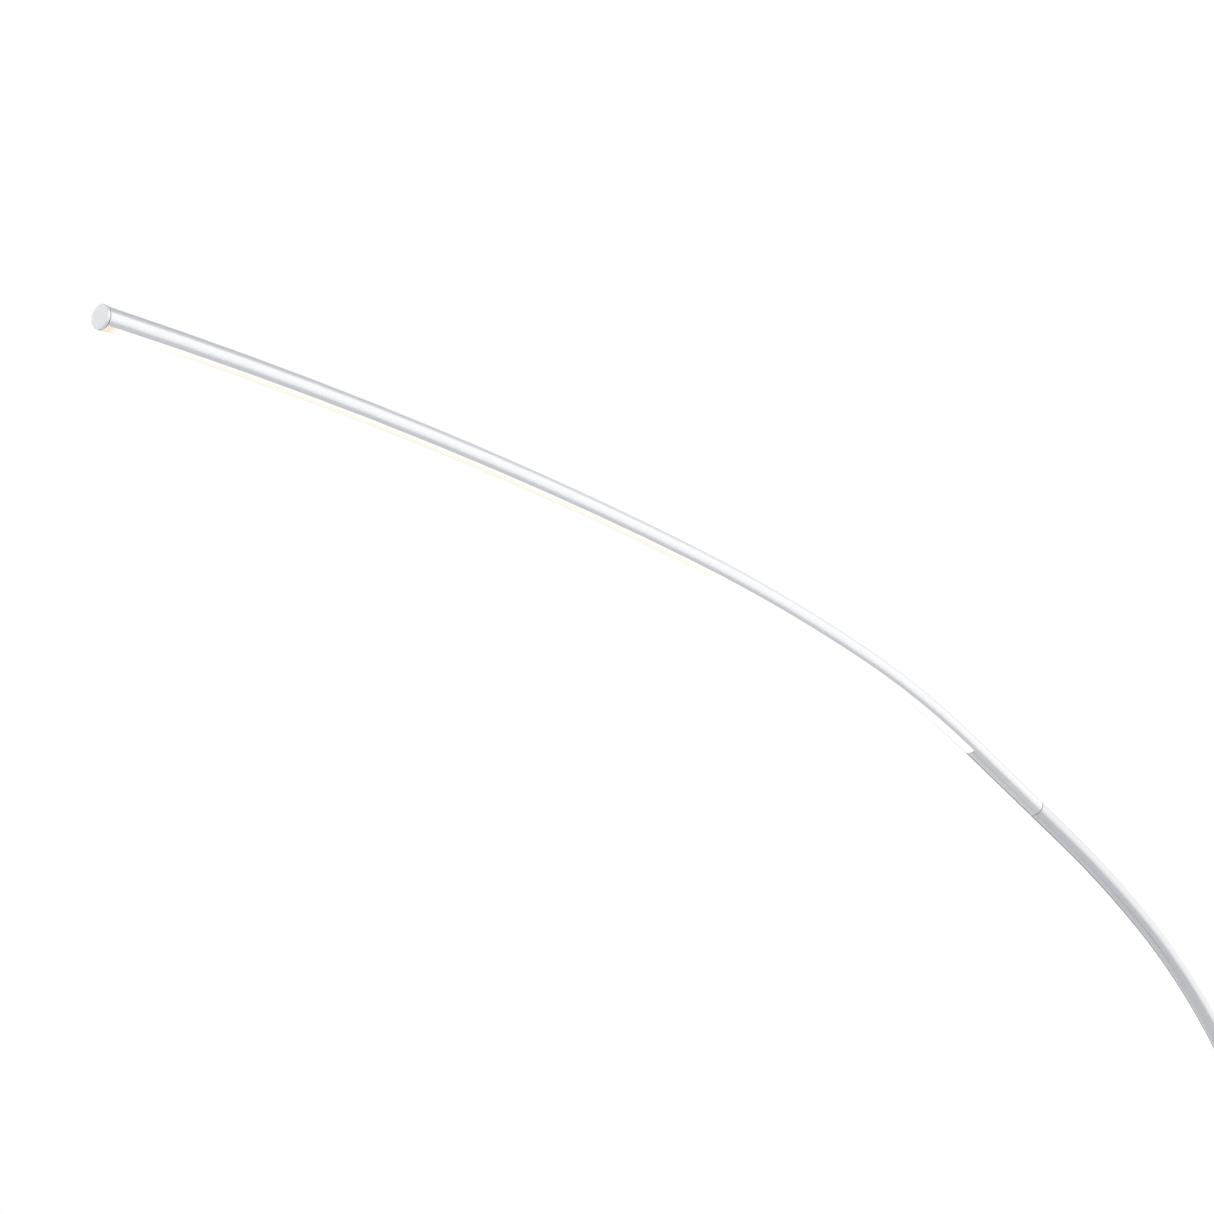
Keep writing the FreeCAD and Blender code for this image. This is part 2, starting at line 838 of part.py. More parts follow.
def nipple():
    top = "nipple_foot + nipple_length"
    ring("threaded_nipple", "nipple_bore_radius", "nipple_radius", "nipple_foot", top)


def swivel_stack():
    """Stop washer, spring washer and nut, hung on the nipple under the weight's web."""
    stop_top = WEB_LOW + " - bush_flange_high - running_gap"
    stop_low = stop_top + " - stop_washer_high"
    spring_low = stop_low + " - spring_washer_high"
    nut_low = spring_low + " - nut_high"
    disc = cylinder("stop_washer_radius", "stop_washer_high", z=stop_low)
    tab = block(("0", "- stop_tab_half_width", stop_low),
                ("stop_tab_reach", twice("stop_tab_half_width"), "stop_washer_high"))
    hole = cylinder("nipple_radius", "stop_washer_high", z=stop_low)
    keep("stop_washer", less(joined(disc, tab), hole))
    ring("spring_washer", "nipple_radius", "spring_washer_radius", spring_low, stop_low)
    thread = cylinder("nipple_radius", "nut_high", z=nut_low)
    keep("nipple_nut", less(hexagon("nut_corner_radius", "nut_high", nut_low), thread))


def bushes():
    split = WEB_LOW + " + bush_split"
    turned("upper_bush", [
        ("bush_bore_radius", split),
        ("bush_sleeve_radius", split),
        ("bush_sleeve_radius", COVER_TOP),
        ("bush_flange_radius", COVER_TOP),
        ("bush_flange_radius", BUSH_TOP),
        ("bush_bore_radius", BUSH_TOP),
    ])
    turned("lower_bush", [
        ("bush_bore_radius", WEB_LOW + " - bush_flange_high"),
        ("lower_flange_radius", WEB_LOW + " - bush_flange_high"),
        ("lower_flange_radius", WEB_LOW),
        ("bush_sleeve_radius", WEB_LOW),
        ("bush_sleeve_radius", split),
        ("bush_bore_radius", split),
    ])


def stop_pin():
    keep("stop_pin", cylinder("stop_pin_radius", "stop_pin_drop + stop_pin_seat",
                              "- stop_pin_circle", "0", WEB_LOW + " - stop_pin_drop"))


COLLAR_LOW = COVER_TOP + " + collar_lift"
COLLAR_TOP = COLLAR_LOW + " + collar_high"


def collar():
    """Collar clamped to the pole just above the cover, hiding the bush and the plug's flange."""
    recess_top = COLLAR_LOW + " + collar_recess_high"
    body = turned("pole_collar", [
        ("collar_recess_radius", COLLAR_LOW),
        ("collar_radius", COLLAR_LOW),
        ("collar_radius", COLLAR_TOP),
        ("collar_bore_radius", COLLAR_TOP),
        ("collar_bore_radius", recess_top),
        ("collar_recess_radius", recess_top),
    ])
    round_edges(body, "collar_edge", at("collar_radius", COLLAR_TOP))
    height = COLLAR_TOP + " - collar_screw_drop"
    sketch = sketch_on(body, "YZ_Plane")
    draw_circle(sketch, "grub_radius", "0", height)
    cut_pocket(body, sketch, "collar_radius + tube_wall", upward=False)
    shank = cylinder("grub_radius", "collar_screw_length", "- tube_radius", "0", height, AGAINST_X)
    socket_face = "- tube_radius - collar_screw_length + grub_socket_deep"
    socket = cylinder("grub_socket_radius", "grub_socket_deep", socket_face, "0", height, AGAINST_X)
    keep("collar_grub_screw", less(shank, socket))


# Base

def pocket_up(body, depth, draw):
    """Cut a pocket up into the weight from its underside, checking that it removes material."""
    doc.recompute()
    before = body.Shape.Volume
    sketch = sketch_on(body, "XY_Plane", PLATE_TOP)
    draw(sketch)
    pocket = cut_pocket(body, sketch, depth)
    doc.recompute()
    assert body.Shape.Volume < before, body.Label
    return pocket


def weight():
    """Cast disc with pockets in its underside for the swivel nut, driver, switch and wires."""
    body = turned("base_weight", rectangle("0", "weight_radius", PLATE_TOP, WEIGHT_TOP))
    round_edges(body, "weight_edge", at("weight_radius", WEIGHT_TOP))
    pocket_up(body, "nut_pocket_deep", lambda s: draw_circle(s, "nut_pocket_radius"))
    pocket_up(body, "nut_pocket_deep",
              lambda s: draw_circle(s, "switch_pocket_radius", "switch_offset"))
    rooms = [
        ("driver_pocket_deep", rectangle("- driver_pocket_back", "- driver_pocket_front",
                                         "- driver_pocket_half_width", "driver_pocket_half_width")),
        ("channel_deep", rectangle("- driver_pocket_back", "switch_offset",
                                   "- channel_half_width", "channel_half_width")),
        ("cord_channel_deep", rectangle("- cord_channel_end", "- driver_pocket_back + tube_radius",
                                        "- cord_channel_half_width", "cord_channel_half_width")),
    ]
    for depth, corners in rooms:
        pocket_up(body, depth, lambda s, c=corners: draw_polygon(s, c))
    pocket_up(body, None, lambda s: draw_circle(s, "bush_sleeve_radius"))
    pocket_up(body, None, lambda s: draw_circle(s, "switch_barrel_radius", "switch_offset"))
    pocket_up(body, "nut_pocket_deep + stop_pin_seat",
              lambda s: draw_circle(s, "stop_pin_radius", "- stop_pin_circle"))
    hole = pocket_up(body, "plate_screw_length",
                     lambda s: draw_circle(s, "plate_screw_radius", "0", "plate_screw_circle"))
    repeat_around(body, hole)


def cover():
    """Pressed skin over the weight, held by the bush's flange and the switch's ring nut."""
    body = turned("base_cover", [
        ("bush_sleeve_radius", WEIGHT_TOP),
        ("cover_inner_radius", WEIGHT_TOP),
        ("cover_inner_radius", "cover_low"),
        (COVER_OUTER, "cover_low"),
        (COVER_OUTER, COVER_TOP),
        ("bush_sleeve_radius", COVER_TOP),
    ])
    round_edges(body, "cover_edge", at(COVER_OUTER, COVER_TOP))
    round_edges(body, "cover_inner_edge", at("cover_inner_radius", WEIGHT_TOP))
    sketch = sketch_on(body, "XY_Plane", "cover_low")
    draw_circle(sketch, "switch_barrel_radius", "switch_offset")
    cut_pocket(body, sketch, None)
    sketch = sketch_on(body, "YZ_Plane")
    draw_circle(sketch, "inlet_neck_radius", "0", "inlet_high")
    cut_pocket(body, sketch, COVER_OUTER + " + cover_thick", upward=False)


def pad():
    """Soft disc that the whole base stands on."""
    turned("base_pad", rectangle("0", "pad_radius", "0", "pad_high"))


def repeat_around(body, feature):
    """Repeat a screw hole around the base's axis."""
    pattern = body.newObject("PartDesign::PolarPattern", "screw_circle")
    pattern.Originals = [feature]
    axis = next(item for item in body.Origin.OriginFeatures if item.Role == "Z_Axis")
    pattern.Axis = (axis, [""])
    pattern.Angle = FULL_TURN
    pattern.Occurrences = PLATE_SCREW_COUNT
    body.Tip = pattern


def plate():
    """Sheet that closes the weight's pockets, over the pad."""
    body = turned("bottom_plate", rectangle("0", "plate_radius", "pad_high", PLATE_TOP))
    sketch = sketch_on(body, "XY_Plane", "pad_high")
    draw_circle(sketch, "plate_hole_radius", "0", "plate_screw_circle")
    repeat_around(body, cut_pocket(body, sketch, None))


def plate_screws():
    """Pan-head screws around the closing plate, their heads beside the pad."""
    screws = []
    for i in range(PLATE_SCREW_COUNT):
        turn = Rotation(Vector(0, 0, 1), QUARTER_TURN + i * FULL_TURN / PLATE_SCREW_COUNT)
        head = cylinder("plate_screw_head_radius", "plate_screw_head_high", "plate_screw_circle",
                        z="pad_high - plate_screw_head_high")
        shank = cylinder("plate_screw_radius", "plate_thick + plate_screw_length",
                         "plate_screw_circle", z="pad_high")
        screw = joined(head, shank)
        screw.Placement = Placement(Vector(), turn)
        screws.append(screw)
    keep("plate_screws", group(*screws))


# Push switch

def switch_frame():
    return Placement(Vector(number("switch_offset"), 0, 0), Rotation())


SWITCH_LOW = WEB_LOW + " - switch_base_high"
SWITCH_FLOOR = SWITCH_LOW + " + switch_floor"
BARREL_TOP = COVER_TOP + " + switch_barrel_rise"
LIP_LOW = BARREL_TOP + " - switch_lip"
BUTTON_LOW = LIP_LOW + " - button_slack - button_flange_high"


def switch():
    """Switch body: wide below the web, with a threaded barrel up through the weight and cover."""
    turned("switch_body", [
        ("0", SWITCH_LOW),
        ("switch_base_radius", SWITCH_LOW),
        ("switch_base_radius", WEB_LOW),
        ("switch_barrel_radius", WEB_LOW),
        ("switch_barrel_radius", BARREL_TOP),
        ("switch_bore_radius", BARREL_TOP),
        ("switch_bore_radius", LIP_LOW),
        ("switch_cavity_radius", LIP_LOW),
        ("switch_cavity_radius", SWITCH_FLOOR),
        ("0", SWITCH_FLOOR),
    ], switch_frame())
    ring("switch_ring_nut", "switch_barrel_radius", "switch_nut_radius", COVER_TOP, BARREL_TOP,
         switch_frame())


def button():
    top = BARREL_TOP + " + button_rise"
    flange_top = BUTTON_LOW + " + button_flange_high"
    body = turned("switch_button", [
        ("0", BUTTON_LOW),
        ("button_flange_radius", BUTTON_LOW),
        ("button_flange_radius", flange_top),
        ("button_radius", flange_top),
        ("button_radius", top),
        ("0", top),
    ], switch_frame())
    round_edges(body, "button_edge", at("button_radius", top))


def coil():
    """Return spring between the switch's floor and the button."""
    body = new_body("switch_spring", switch_frame())
    section = sketch_on(body, "XZ_Plane")
    draw_circle(section, "coil_wire_radius", "coil_radius", SWITCH_FLOOR + " + coil_wire_radius")
    helix = body.newObject("PartDesign::AdditiveHelix", "turns")
    helix.Profile = section
    helix.ReferenceAxis = (section, ["V_Axis"])
    helix.Mode = "pitch-height-angle"
    bind(helix, "Pitch", "coil_pitch")
    rise = BUTTON_LOW + negated(SWITCH_FLOOR) + negated(twice("coil_wire_radius"))
    bind(helix, "Height", rise)


# Driver and wiring

DRIVER_WIDTH = "driver_back - driver_front"
DRIVER_LENGTH = twice("driver_half_length")
DRIVER_TOP = "driver_low + driver_high"
DRIVER_LID_LOW = DRIVER_TOP + " - driver_lid_high"
BOARD_LOW = "driver_low + driver_wall + board_gap"
BOARD_TOP = BOARD_LOW + " + board_thick"


def driver_block(low, high, inset=""):
    """A block over the driver's outline, or inside its walls, from one level up by a height."""
    corner = ("- driver_back", "- driver_centre - driver_half_length", low)
    size = (DRIVER_WIDTH, DRIVER_LENGTH, high)
    if not inset:
        return block(corner, size)
    inner_corner = (corner[0] + " + " + inset, corner[1] + " + " + inset, low)
    walls = " - " + inset + " - " + inset
    return block(inner_corner, (DRIVER_WIDTH + walls, DRIVER_LENGTH + walls, high))


def driver():
    """Driver case in the weight's pocket: a tray, its board and a lid, held up by foam."""
    tray = driver_block("driver_low", "driver_high - driver_lid_high")
    room = driver_block("driver_low + driver_wall", "driver_high", "driver_wall")
    keep("driver_case", less(tray, room))
    keep("driver_lid", group(driver_block(DRIVER_LID_LOW, "driver_lid_high")))
    keep("driver_board", group(driver_block(BOARD_LOW, "board_thick", "driver_wall")))
    foam_low = ("- driver_centre_back - foam_half_width", "- driver_centre - foam_half_length",
                DRIVER_TOP)
    foam_high = PLATE_TOP + " + driver_pocket_deep" + negated(DRIVER_TOP)
    foam_size = (twice("foam_half_width"), twice("foam_half_length"), foam_high)
    keep("driver_foam", group(block(foam_low, foam_size)))


def driver_components():
    """Transformer and two capacitors on the driver's board."""
    side = twice("transformer_half")
    corner = ("- transformer_back", "- driver_centre - transformer_half", BOARD_TOP)
    keep("driver_transformer", group(block(corner, (side, side, "transformer_high"))))
    cans = [
        cylinder("capacitor_radius", "capacitor_high", "- capacitor_back", y, BOARD_TOP)
        for y in ("- driver_centre - capacitor_side", "- driver_centre + capacitor_side")
    ]
    keep("driver_capacitors", group(*cans))


def terminals():
    """Mains terminal block beside the driver, and its clamping screws."""
    size = ("terminal_back - terminal_front", "terminal_depth", "terminal_high")
    body = block(("- terminal_back", "terminal_side", "driver_low"), size)
    wells, screws = [], []
    top = "driver_low + terminal_high"
    for side in ("- terminal_pitch", "+ terminal_pitch"):
        for row in ("terminal_row", "terminal_depth - terminal_row"):
            x = "- terminal_middle " + side
            y = "terminal_side + " + row
            low = top + " - terminal_screw_deep"
            wells.append(cylinder("terminal_screw_radius", "terminal_screw_deep", x, y, low))
            screws.append(cylinder("terminal_screw_radius", "terminal_screw_high", x, y, low))
    keep("terminal_block", less(body, *wells))
    keep("terminal_screws", group(*screws))


def base_wires():
    """The lead from the swivel axis to the driver, the switch's wires and the mains wires."""
    down = Rotation(Vector(0, 1, 0), HALF_TURN)
    start = "nipple_foot - lead_split_gap"
    frame = Placement(Vector(0, 0, number(start)), down)
    runs = [
        ("line", "base_lead_drop"),
        ("arc", "base_lead_bend", "base_lead_turn"),
        ("line", "driver_front - base_lead_bend"),
    ]
    lead("base_lead", "base_lead_radius", runs, frame)
    reach = "driver_front + switch_offset - switch_base_radius"
    wires = [
        cylinder("wire_radius", reach, "- driver_front", side, "wire_high", ALONG_X)
        for side in ("- wire_side", "wire_side")
    ]
    keep("switch_wires", group(*wires))
    edge = "- driver_centre + driver_half_length"
    mains = [
        cylinder("wire_radius", "terminal_side" + negated(edge), x, edge, "wire_high", ALONG_Y)
        for x in ("- terminal_middle - terminal_pitch", "- terminal_middle + terminal_pitch")
    ]
    keep("mains_wires", group(*mains))


def inlet():
    """Rubber grommet in the rear edge of the base, open for the mains cord."""
    face = negated(COVER_OUTER) + " - inlet_clear"
    inner_face = "- cover_inner_radius + inlet_clear"
    front = face + " - inlet_flange_thick"
    end = inner_face + " + inlet_flange_thick"
    body = new_body("cord_grommet", Placement(Vector(0, 0, number("inlet_high")), ALONG_X))
    turn_profile(body, [
        ("inlet_bore_radius", front),
        ("inlet_flange_radius", front),
        ("inlet_flange_radius", face),
        ("inlet_neck_radius", face),
        ("inlet_neck_radius", inner_face),
        ("inlet_inner_flange_radius", inner_face),
        ("inlet_inner_flange_radius", end),
        ("inlet_bore_radius", end),
    ])


def mast():
    pole()
    pole_top = Placement(Vector(0, 0, number(POLE_TOP)), Rotation())
    joint_frame = frame_after(pole_top, BEND_RUNS)
    bend_tube(pole_top)
    joint("lower", pole_top)
    joint("upper", joint_frame)
    arm_tube(joint_frame)
    lens(joint_frame)
    carrier(joint_frame)
    strip(joint_frame)
    chips(joint_frame)
    connector(joint_frame)
    end_cap(frame_after(joint_frame, ARM_RUNS))
    mast_lead()
    foot_plug()
    nipple()
    swivel_stack()
    collar()


def base():
    weight()
    cover()
    bushes()
    stop_pin()
    plate()
    plate_screws()
    pad()
    driver()
    driver_components()
    terminals()
    base_wires()
    inlet()


def check_and_write():
    doc.recompute()
    for item in doc.Objects:
        assert not {"Invalid", "Error"} & set(item.State), (item.Name, item.Label, item.State)
    os.makedirs("parts", exist_ok=True)
    for name, solid in nodes.items():
        shape = solid.Shape
        assert not shape.isNull() and shape.isValid(), name
        shape.exportStep("parts/%s.step" % name)


fill_sheet()
mast()
base()
switch()
button()
coil()
check_and_write()
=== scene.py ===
import json
import math

import bpy
from mathutils import Matrix, Vector


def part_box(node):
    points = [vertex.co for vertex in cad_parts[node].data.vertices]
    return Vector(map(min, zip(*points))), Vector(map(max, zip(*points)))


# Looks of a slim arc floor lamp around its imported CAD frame. Lengths are metres, +Z is up, and the
# arm runs out towards +X. A soft white studio lights it, most of it from the world.

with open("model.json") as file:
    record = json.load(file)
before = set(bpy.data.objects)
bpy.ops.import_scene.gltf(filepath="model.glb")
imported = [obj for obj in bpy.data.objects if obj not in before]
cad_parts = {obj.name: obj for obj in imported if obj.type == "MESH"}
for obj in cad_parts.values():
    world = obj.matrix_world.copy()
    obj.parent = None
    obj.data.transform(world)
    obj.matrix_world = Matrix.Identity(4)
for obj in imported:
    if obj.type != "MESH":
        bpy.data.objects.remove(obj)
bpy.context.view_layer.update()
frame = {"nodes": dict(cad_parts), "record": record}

# Camera, placed from the tip of the arm: degrees, then the tip's distance ahead of the camera and its
# offsets from the axis of view
CAMERA_BEARING = 40.8
CAMERA_PITCH = 20.0
TIP_DISTANCE = 1.6463
TIP_LEFT = 0.3218
TIP_UP = 0.1842
SENSOR_WIDTH = 36.0
LENS = 77.1
CLIP = (0.01, 60.0)

# Studio: brightness of the world by the sine of the elevation
SKY = [
    (-1.0, (0.80, 0.80, 0.81)),
    (-0.5, (0.84, 0.84, 0.85)),
    (-0.2, (0.92, 0.92, 0.925)),
    (0.0, (0.98, 0.98, 0.985)),
    (0.2, (1.0, 1.0, 1.0)),
    (0.4, (1.0, 1.0, 1.005)),
    (0.56, (1.02, 1.02, 1.03)),
    (0.61, (0.97, 0.975, 0.99)),
    (0.66, (0.84, 0.85, 0.87)),
    (0.71, (0.725, 0.735, 0.76)),
    (0.77, (0.65, 0.66, 0.69)),
    (0.84, (0.60, 0.61, 0.64)),
    (1.0, (0.56, 0.57, 0.60)),
]
# A colour ramp stops at 1, so the sky is stored divided by this and the world's strength gives it back
SKY_HEADROOM = 2.0
# Panels in that sky: direction, the cosines between which each one comes in, and its gain
PANELS = [
    # broad light at the arm's upper side
    ((-0.68, 0.70, 0.25), (0.25, 0.95), 0.30),
    # fill from low down behind the lamp
    ((-0.60, -0.68, -0.60), (0.72, 0.95), 0.16),
    # dark panel behind the lamp, which draws a line along the tubes' lower edges
    ((-0.74, -0.67, -0.06), (0.90, 0.985), -0.84),
    # small grey panel above it, which tones the tubes' upper edges
    ((-0.89, -0.25, 0.38), (0.94, 0.99), -0.18),
]
BACKDROP = (1.0, 1.0, 1.0)
FLOOR_CENTRE = (0.3, 0.0, 0.0)
FLOOR_RADIUS = 6.0
FLOOR_FADE = (1.3, 4.2)
FLOOR_COLOUR = (0.89, 0.895, 0.905)
FLOOR_MOTTLE = 0.985
FLOOR_GRAIN = 9.0


def place_camera():
    bearing, pitch = math.radians(CAMERA_BEARING), math.radians(CAMERA_PITCH)
    level = math.cos(pitch)
    forward = Vector((-math.cos(bearing) * level, -math.sin(bearing) * level, math.sin(pitch)))
    right = Vector((-math.sin(bearing), math.cos(bearing), 0.0))
    up = right.cross(forward)
    low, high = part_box("end_cap")
    tip = Vector((high.x, 0.0, (low.z + high.z) / 2))
    data = bpy.data.cameras.new("camera")
    data.sensor_width = SENSOR_WIDTH
    data.lens = LENS
    data.clip_start, data.clip_end = CLIP
    camera = bpy.data.objects.new("camera", data)
    bpy.context.scene.collection.objects.link(camera)
    turn = Matrix((right, up, -forward)).transposed().to_4x4()
    place = tip - forward * TIP_DISTANCE + right * TIP_LEFT - up * TIP_UP
    camera.matrix_world = Matrix.Translation(place) @ turn
    bpy.context.scene.camera = camera


class Nodes:
    """Short calls for building a node tree from nothing."""

    def __init__(self, tree):
        self.tree = tree
        tree.nodes.clear()

    def add(self, kind, inputs=None, **settings):
        node = self.tree.nodes.new(kind)
        for name, value in settings.items():
            setattr(node, name, value)
        for name, value in (inputs or {}).items():
            self.feed(node.inputs[name], value)
        return node

    def feed(self, socket, value):
        if isinstance(value, bpy.types.NodeSocket):
            self.tree.links.new(value, socket)
        else:
            socket.default_value = value

    def ramp(self, factor, stops):
        node = self.add("ShaderNodeValToRGB", {"Fac": factor})
        ramp = node.color_ramp
        while len(ramp.elements) < len(stops):
            ramp.elements.new(0.5)
        for element, (place, colour) in zip(ramp.elements, stops):
            element.position = place
            element.color = (*colour, 1.0)
        return node.outputs["Color"]

    def span(self, value, low, high, out_low=0.0, out_high=1.0, smooth=False):
        node = self.add(
            "ShaderNodeMapRange",
            {"Value": value, "From Min": low, "From Max": high, "To Min": out_low, "To Max": out_high},
            interpolation_type="SMOOTHSTEP" if smooth else "LINEAR",
        )
        return node.outputs["Result"]

    def maths(self, operation, *values):
        node = self.add("ShaderNodeMath", operation=operation)
        for socket, value in zip(node.inputs, values):
            self.feed(socket, value)
        return node.outputs["Value"]

    def mix(self, factor, first, second):
        node = self.add("ShaderNodeMix", data_type="RGBA")
        self.feed(node.inputs[0], factor)
        self.feed(node.inputs[6], first)
        self.feed(node.inputs[7], second)
        return node.outputs[2]

    def place(self):
        return self.add("ShaderNodeTexCoord").outputs["Object"]

    def noise(self, scale, detail=3.0):
        node = self.add("ShaderNodeTexNoise", {"Vector": self.place(), "Scale": scale, "Detail": detail})
        return node.outputs["Fac"]

    def bump(self, height, distance):
        node = self.add("ShaderNodeBump", {"Height": height, "Distance": distance, "Strength": 1.0})
        return node.outputs["Normal"]

    def surface(self, inputs):
        self.show(self.add("ShaderNodeBsdfPrincipled", inputs))

    def show(self, shader, kind="ShaderNodeOutputMaterial"):
        self.feed(self.add(kind).inputs["Surface"], shader.outputs[0])


def new_material(name):
    material = bpy.data.materials.new(name)
    material.use_nodes = True
    return material, Nodes(material.node_tree)


def opaque(colour):
    return (*colour, 1.0)


def shade(colour, factor):
    return tuple(min(1.0, channel * factor) for channel in colour)


def light_studio():
    """White backdrop for the camera, with the shaded studio around it for every other ray."""
    world = bpy.data.worlds.new("studio")
    world.use_nodes = True
    bpy.context.scene.world = world
    make = Nodes(world.node_tree)
    direction = make.add("ShaderNodeTexCoord").outputs["Generated"]
    height = make.add("ShaderNodeSeparateXYZ", {"Vector": direction}).outputs["Z"]
    stops = [((sine + 1.0) / 2.0, shade(colour, 1.0 / SKY_HEADROOM)) for sine, colour in SKY]
    sky = make.ramp(make.span(height, -1.0, 1.0), stops)
    strength = SKY_HEADROOM
    for aim, spread, gain in PANELS:
        toward = make.add(
            "ShaderNodeVectorMath",
            {0: direction, 1: Vector(aim).normalized()},
            operation="DOT_PRODUCT",
        )
        lobe = make.span(toward.outputs["Value"], *spread, smooth=True)
        strength = make.maths("MULTIPLY_ADD", lobe, SKY_HEADROOM * gain, strength)
    studio = make.add("ShaderNodeBackground", {"Color": sky, "Strength": strength})
    backdrop = make.add("ShaderNodeBackground", {"Color": opaque(BACKDROP), "Strength": 1.0})
    seen = make.add("ShaderNodeLightPath").outputs["Is Camera Ray"]
    both = make.add("ShaderNodeMixShader", {0: seen, 1: studio.outputs[0], 2: backdrop.outputs[0]})
    make.show(both, "ShaderNodeOutputWorld")
    bpy.context.scene.view_settings.view_transform = "Standard"


def lay_floor():
    """Pale floor that fades out into the white of the studio."""
    mesh = bpy.data.meshes.new("floor")
    r = FLOOR_RADIUS
    corners = [(FLOOR_CENTRE[0] + x * r, y * r, 0.0) for x, y in ((-1, -1), (1, -1), (1, 1), (-1, 1))]
    mesh.from_pydata(corners, [], [(0, 1, 2, 3)])
    floor = bpy.data.objects.new("floor", mesh)
    bpy.context.scene.collection.objects.link(floor)
    material, make = new_material("floor")
    away = make.add("ShaderNodeVectorMath", {0: make.place(), 1: FLOOR_CENTRE}, operation="DISTANCE")
    fade = make.span(away.outputs["Value"], *FLOOR_FADE, smooth=True)
    mottled = opaque(shade(FLOOR_COLOUR, FLOOR_MOTTLE))
    paint = make.mix(make.noise(FLOOR_GRAIN), opaque(FLOOR_COLOUR), mottled)
    solid = make.add("ShaderNodeBsdfDiffuse", {"Color": paint})
    clear = make.add("ShaderNodeBsdfTransparent")
    both = make.add("ShaderNodeMixShader", {0: fade, 1: solid.outputs[0], 2: clear.outputs[0]})
    make.show(both)
    mesh.materials.append(material)


# Finishes of the record's material slots: colour, metallic, roughness, grain per metre, how much the
# shade and the roughness vary, and the depth of the grain.
FINISHES = {
    "satin_aluminium": ((0.745, 0.750, 0.762), 1.0, 0.22, 900.0, 0.008, 0.02, 0.0000004),
    "silver_paint": ((0.675, 0.681, 0.693), 1.0, 0.22, 1100.0, 0.008, 0.02, 0.0000004),
    "cap_plastic": ((0.80, 0.803, 0.81), 0.75, 0.26, 1100.0, 0.008, 0.02, 0.0000004),
    "bare_aluminium": ((0.80, 0.80, 0.81), 1.0, 0.35, 500.0, 0.05, 0.10, 0.00002),
    "white_circuit": ((0.90, 0.90, 0.88), 0.0, 0.45, 600.0, 0.03, 0.08, 0.00002),
    "white_plastic": ((0.86, 0.86, 0.84), 0.0, 0.50, 700.0, 0.04, 0.08, 0.00003),
    "steel": ((0.60, 0.61, 0.63), 1.0, 0.34, 1100.0, 0.08, 0.12, 0.00002),
    "black_steel": ((0.045, 0.045, 0.05), 0.9, 0.42, 1100.0, 0.20, 0.10, 0.00002),
    "spring_steel": ((0.52, 0.52, 0.54), 1.0, 0.25, 1500.0, 0.08, 0.10, 0.00001),
    "brass": ((0.74, 0.57, 0.27), 1.0, 0.32, 1000.0, 0.08, 0.12, 0.00002),
    "nylon": ((0.86, 0.85, 0.80), 0.0, 0.48, 800.0, 0.04, 0.08, 0.00002),
    "cast_iron": ((0.10, 0.10, 0.105), 0.6, 0.62, 420.0, 0.35, 0.14, 0.00025),
    "zinc_sheet": ((0.62, 0.63, 0.66), 1.0, 0.40, 60.0, 0.16, 0.16, 0.00002),
    "pad_foam": ((0.035, 0.035, 0.037), 0.0, 0.90, 900.0, 0.30, 0.06, 0.00015),
    "driver_plastic": ((0.82, 0.82, 0.81), 0.0, 0.55, 900.0, 0.04, 0.08, 0.00003),
    "circuit_board": ((0.06, 0.26, 0.11), 0.0, 0.38, 300.0, 0.18, 0.08, 0.00002),
    "transformer": ((0.80, 0.62, 0.12), 0.0, 0.42, 250.0, 0.12, 0.08, 0.00005),
    "capacitor": ((0.05, 0.06, 0.16), 0.0, 0.30, 500.0, 0.10, 0.06, 0.00001),
    "foam_tape": ((0.10, 0.10, 0.10), 0.0, 0.92, 1100.0, 0.30, 0.05, 0.00015),
    "terminal_plastic": ((0.82, 0.82, 0.79), 0.0, 0.46, 800.0, 0.04, 0.08, 0.00002),
    "lead_sheath": ((0.86, 0.86, 0.84), 0.0, 0.44, 700.0, 0.04, 0.08, 0.00002),
    "black_rubber": ((0.030, 0.030, 0.032), 0.0, 0.70, 1200.0, 0.25, 0.10, 0.00006),
    "black_plastic": ((0.035, 0.035, 0.038), 0.0, 0.42, 1200.0, 0.18, 0.10, 0.00003),
    "button_plastic": ((0.74, 0.75, 0.765), 0.9, 0.26, 1200.0, 0.03, 0.05, 0.000002),
}


# The shade varies over fine grain and over patches this many times broader; roughness follows the
# patches between these values of their noise
PATCH_BREADTH = 30.0
PATCH_RANGE = (0.3, 0.7)


def finished(slot, repaint=None):
    """Material of a slot; repaint, if given, paints shade into its colour in places."""
    colour, metallic, roughness, grain, shading, roughening, depth = FINISHES[slot]
    material, make = new_material(slot)
    fine = make.noise(grain)
    broad = make.noise(grain / PATCH_BREADTH, detail=2.0)
    patch = make.maths("ADD", make.maths("MULTIPLY", fine, 0.5), make.maths("MULTIPLY", broad, 0.5))
    paint = make.mix(patch, opaque(shade(colour, 1.0 - shading)), opaque(shade(colour, 1.0 + shading)))
    if repaint:
        paint = repaint(make, paint)
    smoothest, roughest = roughness - roughening / 2, roughness + roughening / 2
    make.surface({
        "Base Color": paint,
        "Metallic": metallic,
        "Roughness": make.span(broad, *PATCH_RANGE, smoothest, roughest),
        "Normal": make.bump(fine, depth),
    })
    return material


# End cap: slope of its axis in degrees, thickness of its rim, where the painted shade of the groove
# comes in behind the rim, and the colour of that painted shade
CAP_SLOPE = 4.8
CAP_RIM = 0.00195
GROOVE_SHADE_START = (0.00005, 0.00001)
GROOVE_SHADE_COLOUR = (0.02, 0.02, 0.022)


